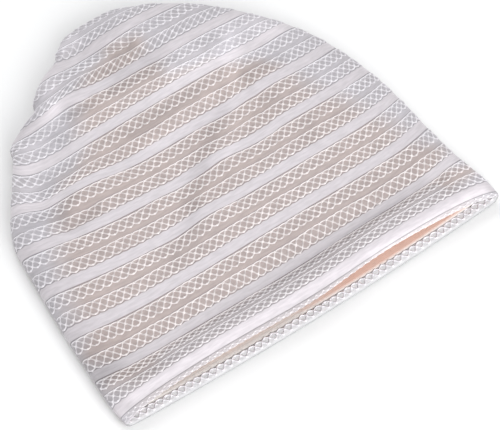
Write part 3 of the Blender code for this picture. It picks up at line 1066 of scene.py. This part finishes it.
# painted shade on the hem's outer bend and a painted highlight on its top; the pale hem colour is partly
# painted light
back_masks = {"lined": BACK_LINED, "painted": back_v > -HEM_ROUND, "shade": hem_shade(back_v),
              "glow": HEM_PALENESS_AND_LIGHT * np.clip(-back_v / HEM_ROUND, 0, 1)}
back_cloth = cloth_piece("back_cloth", back_points, np.stack([back_u, back_repeat], -1), back_masks,
                         striped_cloth, FABRIC, turned=True)
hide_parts("back_panel")
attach(back_cloth, "root")

# %% [markdown]
# ## The lining
# The lining is a bag of its own, a little smaller than the cap, sewn in where the hems end. Seen from
# the opening it is a peach band. It could be two panels like the cap, but its seam doesn't show, so it
# goes over the upper side and back along the lower one in one loop. In the left half of the opening a
# pale strip of the hem's cloth faces the lower side, and that part lies lowest and is made a little
# darker with painted shade.

# %% The lining's shape
LINING = 0.0009
LINING_INSET = 0.0019
LINING_EASE = 0.0045
EASE_FADE = 0.07
HEM_GAP = 0.0003
BACK_HEM_GAP = 0.0001
LINING_START = (HEM_TURN + HEM_GAP) / CAP_LENGTH
LINING_END = 1 - 2 * (LINING_INSET + 0.0010) / CAP_LENGTH
LINING_RAISE = 0.0007
LOWER_SQUARENESS = 8


def lining_points(rows, columns):
    """Rows of the bag: over the upper side from left to right, then back under the lower one. The upper
    side has the panel's section, further in. The lower one is flat and its ends go up as the square root
    of one less side to a high power."""
    height = np.linspace(LINING_START, LINING_END, rows)[:, None]
    near_hem = bell(height - LINING_START, EASE_FADE)
    inset = LINING_INSET + LINING_EASE * (1 - near_hem)
    left, right = reaches(height, inset)
    side = seam_to_seam(columns)[None, :]
    base = SEAM_HEIGHT + LINING_RAISE
    x, y = (right - left) / 2 + (right + left) / 2 * side, height * CAP_LENGTH
    z = section_height(side, height, (x, y), base, inset, GROOVE)
    upper = as_points(x, y - front_bow(height, side), z)
    drop = (base - LINING_INSET) * (1 - np.abs(side) ** LOWER_SQUARENESS) ** 0.5
    lower = as_points(x, y - back_bow(height, side), base - drop)[:, ::-1]
    lower[..., 1] += (BACK_HEM_TURN + BACK_HEM_GAP - HEM_TURN - HEM_GAP) * near_hem
    loop = np.concatenate([upper, lower[:, 1:]], 1)
    far_end = (loop[-1:] + loop[-1:, ::-1]) / 2
    return np.concatenate([loop, far_end])


bag = lining_points(120, 61)
print("the lining is", round(1000 * float(np.ptp(bag[..., 1]))), "mm long")

# %% [markdown]
# ### The lining's masks
# What colours the lining is worked out from two distances: how far into the opening a place lies, and
# how far across. It could be painted by hand on a picture, but then it wouldn't follow a new size.

# %% The lining bag
FACING = 0.0026
FACING_RIGHT = 0.20
FACING_FADE = 0.3
FACING_TINT = 0.75
# the lining's first 0.8 mm takes the pale colour as painted light, where the step down from the hem shades
# it
PAINTED_LIGHT_STRIP = 0.0008
STRIP_SOFTNESS = 0.0004
MOUTH_SHADE = 0.20

bag_v = np.linspace(LINING_START, LINING_END, len(bag))[:, None] * CAP_LENGTH
into = bag_v - LINING_START * CAP_LENGTH
faced_part = np.clip((FACING_RIGHT - bag[..., 0] / (BRIM_WIDTH / 2)) / FACING_FADE, 0, 1)
on_lower = np.arange(bag.shape[1]) > bag.shape[1] // 2
# the pale strip: the hem's facing in the left half, and painted light along the lining's start everywhere
strip = np.clip((np.maximum(FACING * faced_part, PAINTED_LIGHT_STRIP) - into) / STRIP_SOFTNESS + 0.5, 0, 1)
bag_masks = {"faced": np.maximum(strip, FACING_TINT * faced_part) * on_lower,
             "shade": MOUTH_SHADE * bell(into, FACING) * faced_part}
bag_uv = np.stack([distance_across(bag), np.broadcast_to(bag_v, bag.shape[:2])], -1)
lining_bag = cloth_piece("lining_bag", bag, bag_uv, bag_masks, peach_jersey, LINING)
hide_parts("lining")
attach(lining_bag, "root")

# %% [markdown]
# ## The net's threads
# The net could be painted into the material, but its threads stand up from the ground and catch the
# light, so each is a small tube that lies on the cloth. One strip of net has four threads: a straight
# one at the top, a zigzag below it, a second zigzag that meets the first at its points, and a row of
# scallops that closes the strip towards the brim. A path is written in fabric coordinates, so the same
# few lines serve every strip, and the surface carries it to its place. To find that place, a table holds
# for each distance across, at each height, how far it is on the way from seam to seam.

# %% From the fabric to the surface
MAP_ROWS, MAP_COLUMNS = 420, 401
CORRECTIONS = 6
SMALL_STEP = 2e-4
NEAR_SEAM = 0.9985
CROWN_MARGIN = 0.0003

map_side = seam_to_seam(MAP_COLUMNS)
map_u = distance_across(front_surface(map_side[None, :], np.linspace(0, CAP_LENGTH, MAP_ROWS)[:, None]))
map_ends = map_u[:, [0, -1]]
even = np.linspace(0, 1, MAP_COLUMNS)
side_of = np.stack([np.interp(low + even * (high - low), lengths, map_side)
                    for lengths, (low, high) in zip(map_u, map_ends)])


def side_at(u, v):
    """The place from seam to seam of a distance across, at a distance from the brim. The table of
    places is read between its rows and columns."""
    row = np.clip(v / CAP_LENGTH, 0, 1) * (MAP_ROWS - 1.001)
    i, share = row.astype(int), row % 1
    low, high = (map_ends[i, k] * (1 - share) + map_ends[i + 1, k] * share for k in (0, 1))
    column = np.clip((u - low) / (high - low), 0, 1) * (MAP_COLUMNS - 1.001)
    j, part = column.astype(int), column % 1
    upper = side_of[i, j] * (1 - part) + side_of[i, j + 1] * part
    lower = side_of[i + 1, j] * (1 - part) + side_of[i + 1, j + 1] * part
    return upper * (1 - share) + lower * share


def fabric_to_front(u, repeat):
    """Place in the upper panel of a point of the fabric, as side and distance from the brim. Each needs
    the other, so both are corrected in turn until they settle."""
    side = side_at(u, stripe_place(repeat, 0 * u))
    for _ in range(CORRECTIONS):
        side = side_at(u, np.maximum(stripe_place(repeat, side), 0))
    return side, stripe_place(repeat, side)


def outward(surface, a, b, step):
    """Direction square to a surface: the cross product of two small steps along it, made one long. Past
    the surface's end a step goes nowhere, and so does the direction."""
    run = surface(a + step, b) - surface(a - step, b)
    climb = surface(a, b + step) - surface(a, b - step)
    out = np.cross(run, climb)
    length = np.linalg.norm(out, axis=-1, keepdims=True)
    return out / np.where(length > 0, length, 1)


def on_front(u, repeat):
    """Point and outward direction on the upper panel, and whether the place is on the panel."""
    side, v = fabric_to_front(u, repeat)
    on = (np.abs(side) < NEAR_SEAM) & (v > -HEM_LENGTH) & (v < CAP_LENGTH - CROWN_MARGIN)
    return front_surface(side, v), outward(front_surface, side * (1 - 1e-3), v, SMALL_STEP), on


sample = on_front(np.array([0.05]), np.array([4.3]))[0][0]
print("50 mm across at 4.3 repeats is at", [round(float(value), 4) for value in sample])

# %% [markdown]
# ### A thread is a thin tube
# A curve with a round bevel would do for one thread, but there are dozens of long ones, and a round
# section wastes corners on a thread that is pressed to the cloth. So each is a row of rings with five
# corners, wide along the cloth and low above it. Many threads make one mesh, and each point also gets
# how much of a knot it is, the shade on it and how much lining lies below it.

# %% A thread along a path
THREAD_SIDES = 5
THREAD_HALF = 0.00043
THREAD_RISE = 0.00024
THREAD_LIFT = 0.4


def thread_tube(point, out, width, rise):
    """Rings of an oval profile carried along a path, with closed ends. Each ring is the path's point plus
    a cosine across the path and a sine out of the cloth, with its middle raised a little."""
    tangent = np.gradient(point, axis=0)
    tangent /= np.linalg.norm(tangent, axis=1, keepdims=True)
    across = np.cross(out, tangent)
    angle = np.arange(THREAD_SIDES) * 2 * math.pi / THREAD_SIDES
    raised = rise[:, None] * (THREAD_LIFT + np.sin(angle))
    rings = (point[:, None] + out[:, None] * raised[..., None]
             + across[:, None] * (width[:, None] * np.cos(angle))[..., None])
    corners = np.concatenate([rings.reshape(-1, 3), point[[0, -1]]])
    ring = np.arange(len(point) * THREAD_SIDES).reshape(len(point), THREAD_SIDES)
    after = np.roll(ring, -1, 1)
    walls = np.stack([ring[:-1], ring[1:], after[1:], after[:-1]], -1).reshape(-1, 4)
    start = np.stack([ring[0], after[0], np.full(THREAD_SIDES, len(corners) - 2)], -1)
    stop = np.stack([after[-1], ring[-1], np.full(THREAD_SIDES, len(corners) - 1)], -1)
    return corners, walls, np.concatenate([start, stop])


def joined(tubes):
    """Several tubes as one set of corners and faces of four or three corners, with three values for each
    corner: how much of a knot it is, the shade on it, and how much lining is below it."""
    corners, fours, threes, values, count = [], [], [], [], 0
    for (points, walls, caps), marks in tubes:
        corners.append(points)
        fours.append(walls + count)
        threes.append(caps + count)
        values.append(np.concatenate([np.repeat(marks, THREAD_SIDES, axis=1), marks[:, [0, -1]]], 1))
        count += len(points)
    return np.concatenate(corners), np.concatenate(fours), np.concatenate(threes), np.concatenate(values, 1)


def thread_piece(name, tubes):
    """One mesh of many threads."""
    corners, fours, threes, values = joined(tubes)
    mesh = bpy.data.meshes.new(name)
    mesh.from_pydata(corners, [], fours.tolist() + threes.tolist())
    for label, value in zip(("knot", "shade", "lined"), values.astype(np.float32)):
        mesh.attributes.new(label, "FLOAT", "POINT").data.foreach_set("value", value)
    mesh.shade_smooth()
    mesh.materials.append(net_thread)
    piece = bpy.data.objects.new(name, mesh)
    bpy.context.scene.collection.objects.link(piece)
    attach(piece, "root")
    print(name, "has", len(tubes), "threads and", 2 * len(fours) + len(threes), "triangles")
    return piece


print("a thread is", 2000 * THREAD_HALF, "mm wide away from its knots")

# %% [markdown]
# ### Four threads make a strip
# The real net has a knot wherever its threads meet. Knots could be small balls, but a swelling of the
# thread itself looks the same at this size and costs nothing. All threads drift a little from their
# paths, by two slow waves, because a net of exact copies looks printed. The strip at the very edge of
# the brim is pulled over it, so only its lower two threads show, slim and close together.

# %% The four threads of a strip
STEPS_A_PITCH = 8
PITCHES = 30
EDGE_LEVELS = (0.00, 0.06, 0.21, 0.40)
EDGE_SLIMNESS = 0.62
TOP_ARCH = 0.05
ZIGZAG_SWELL = 0.9
KNOT_SWELL = 1.0
TIP_SWELL = 0.7
TIP_SHARE = 0.6
KNOT_SPREAD = 0.22
NET_DRIFT = 0.00028
SLOW_DRIFT = 0.011
QUICK_DRIFT = 0.0047
SHORTEST = 3


def zigzag(turns):
    """A wave from 0 at whole turns to 1 at half turns: part straight zigzag, part cosine."""
    straight = 1 - np.abs(2 * (turns % 1) - 1)
    return ZIGZAG_SHARPNESS * straight + (1 - ZIGZAG_SHARPNESS) * (1 - np.cos(2 * math.pi * turns)) / 2


def strip_threads(whole, strip, levels, on_cloth, marks_at, slimness=1.0):
    """The threads of the net strip of one repeat. Each has a level, from 0 at the top of the strip to 1
    at its bottom, a swelling of its thickness, and how much of a knot each of its points is."""
    bottom, top = strip
    a, b, c, d = levels
    turns = np.arange(-PITCHES * STEPS_A_PITCH, PITCHES * STEPS_A_PITCH + 1) / STEPS_A_PITCH
    u = turns * PITCH
    knots = bell(2 * np.minimum(turns % 0.5, 0.5 - turns % 0.5), KNOT_SPREAD)
    arch = np.abs(np.sin(math.pi * turns))
    quick = np.sin(u / QUICK_DRIFT + 1.3 * whole + top / 0.002)
    drift = NET_DRIFT * (np.sin(u / SLOW_DRIFT + 2.1 * whole) + 0.6 * quick)
    swell = ZIGZAG_SWELL + KNOT_SWELL * knots
    paths = (
        (a - TOP_ARCH * arch, ZIGZAG_SWELL + 0 * u, 1 + 0 * u),
        (a + (b - a) * zigzag(turns), swell, knots),
        (b + (c - b) * zigzag(turns + 0.5), swell, knots),
        (c + (d - c) * arch**SCALLOP_POWER, 1 + TIP_SWELL * knots, np.maximum(knots, TIP_SHARE * arch)),
    )
    tubes = []
    for level, swell, knot in paths:
        repeat = whole + (top - level * (top - bottom)) / REPEAT
        point, out, on = on_cloth(u + drift, repeat + drift * knot / REPEAT)
        if on.sum() > SHORTEST:
            thick = slimness * swell[on]
            tube = thread_tube(point[on], out[on], THREAD_HALF * thick, THREAD_RISE * thick)
            tubes.append((tube, np.stack([knot, *marks_at(point, repeat)])[:, on]))
    return tubes


def front_marks(point, repeat):
    """The shade on a point of the upper panel, and how much lining is below it."""
    return shade_at(point, repeat), lined_mask(point)


def front_strips(strip, wholes):
    """All the threads of one kind of strip on the upper panel. Of the strip at the brim's edge only the
    last two threads are made, slim and with low zigzags."""
    tubes = []
    for whole in wholes:
        if strip is LOWER_NET and whole == 1:
            tubes += strip_threads(whole, strip, EDGE_LEVELS, on_front, front_marks, EDGE_SLIMNESS)[2:]
        else:
            tubes += strip_threads(whole, strip, NET_LEVELS, on_front, front_marks)
    return tubes


net_lower = thread_piece("front_net_lower", front_strips(LOWER_NET, range(1, 11)))
net_upper = thread_piece("front_net_upper", front_strips(UPPER_NET, range(1, 10)))

# %% [markdown]
# ### The net on the lower hem
# Just inside the rounded edge of the lower hem one row of loops shows. It could be a short piece of its
# own, but it is a strip like the others on another surface, and only its last two threads are made.

# %% The net on the lower hem
BACK_STEP = 1e-4
SIDE_MARGIN = 0.001


def on_back(u, repeat):
    """Point and outward direction on the lower panel, and whether the place is on it."""
    v = repeat * REPEAT
    on = np.abs(u) < section_half[0, 0] - SIDE_MARGIN
    return back_surface(u, v), -outward(back_surface, u, v, BACK_STEP), on


def hem_marks(point, repeat):
    """The shade on a point of the lower hem, and no lining below it."""
    return hem_shade(repeat * REPEAT), 0 * repeat


hem_strip = (HEM_TIPS, HEM_TIPS + UPPER_NET[1] - UPPER_NET[0])
hem_net = thread_piece("back_hem_net", strip_threads(0, hem_strip, NET_LEVELS, on_back, hem_marks)[2:])

# %% [markdown]
# ## The sheets as flat cloth
# Whoever sews or simulates the cap needs to know how much cloth each sheet is. For each surface above,
# the longest of its rows is printed, measured along the cloth.

# %% The sheets' widest rows
for label, across in (("upper", front_uv[..., 0]), ("lower", back_u), ("lining", bag_uv[..., 0])):
    print(label, "surface, widest row:", round(float(np.ptp(across, axis=1).max()), 3), "m")

# %% [markdown]
# ## The table
# The cap lies on a white sheet in the photograph, which is all but pure white. A white world alone would
# leave the cap floating, so a real sheet takes its soft contact shadow.

# %% Stage
TABLE_HALF = 3.0
TABLE_DROP = 0.0002


def paper_material():
    """A matt white sheet of paper with a very faint unevenness."""
    material, n, shader = new_material("paper")
    tone = n.group(unevenness, Scale=3.0)["Tone"]
    n.feed(shader, {"Base Color": n.mix(tone, (0.89, 0.89, 0.885), (0.865, 0.865, 0.86)), "Roughness": 0.9})
    return material


corners = np.array([(-1, -1, 0), (1, -1, 0), (1, 1, 0), (-1, 1, 0)]) * TABLE_HALF
corners[:, 2] = -TABLE_DROP
table_top = mesh_piece("table_top", corners, np.array([[0, 1, 2, 3]]), paper_material())
print("the table is", 2 * TABLE_HALF, "m wide")

# %% [markdown]
# ## The light
# The photograph has very soft light and hardly any shadow. A sun would draw hard edges, so there are
# three large square lamps. One stands beyond the crown, so that slopes that face the brim are a little
# darker. Two stand before the brim and fill the folds, and a pale sky all round lights the rest.

# %% Lights
def soft_light(name, place, size, power):
    """A square area light at a place, turned to face the middle of the table."""
    data = bpy.data.lights.new(name, "AREA")
    data.size, data.energy = size, power
    lamp = bpy.data.objects.new(name, data)
    x, y, z = place
    lamp.rotation_euler = (math.atan2(math.hypot(x, y), z), 0, math.atan2(-y, -x) - math.pi / 2)
    lamp.location = place
    bpy.context.scene.collection.objects.link(lamp)
    print(name, "light:", power, "W from", place)


soft_light("key", (0.2, 1.7, 1.6), 1.4, 22)
soft_light("fill", (-0.1, -1.8, 1.5), 2.0, 21)
soft_light("front", (0.0, -1.4, 0.5), 1.4, 15)
world = bpy.data.worlds.new("studio")
world.use_nodes = True
world.node_tree.nodes["Background"].inputs[0].default_value = (0.97, 0.98, 1.0, 1)
world.node_tree.nodes["Background"].inputs[1].default_value = 0.62
bpy.context.scene.world = world
bpy.context.scene.view_settings.view_transform = "Standard"

# %% [markdown]
# ## The camera
# The photograph looks down on the cap from its left front. The camera has a long lens and stands far
# off, so that the lines of the cap stay almost parallel, as in a catalogue picture. It could look
# straight at the cap's middle and be shifted afterwards, but moving the camera sideways keeps its lens
# plain. Turn and rise were fitted to the outline in the photograph.

# %% Camera
CAMERA_TURN = math.radians(34.5)
CAMERA_RISE = math.radians(61.5)
CAMERA_DISTANCE = 2.55
AIM_HEIGHT = 0.012
PIXELS_A_METRE = 1610.0
AIM_PIXEL = (202.7, 161.5)
IMAGE = (500, 430)
SENSOR = 36.0

towards = np.array((-math.sin(CAMERA_TURN) * math.cos(CAMERA_RISE),
                    -math.cos(CAMERA_TURN) * math.cos(CAMERA_RISE), math.sin(CAMERA_RISE)))
rightwards = np.array((math.cos(CAMERA_TURN), -math.sin(CAMERA_TURN), 0.0))
upwards = np.cross(towards, rightwards)
offset = (IMAGE[0] / 2 - AIM_PIXEL[0], AIM_PIXEL[1] - IMAGE[1] / 2)
camera_place = (np.array((0, 0, AIM_HEIGHT)) + towards * CAMERA_DISTANCE
                + (rightwards * offset[0] + upwards * offset[1]) / PIXELS_A_METRE)
lens = bpy.data.cameras.new("camera")
lens.sensor_width = SENSOR
lens.lens = PIXELS_A_METRE * CAMERA_DISTANCE / IMAGE[0] * SENSOR
camera = bpy.data.objects.new("camera", lens)
camera.location = camera_place
camera.rotation_euler = (math.pi / 2 - CAMERA_RISE, 0, -CAMERA_TURN)
bpy.context.scene.collection.objects.link(camera)
bpy.context.scene.camera = camera
print("lens", round(lens.lens, 1), "mm at", [round(float(value), 3) for value in camera_place])

# %% [markdown]
# ## The end
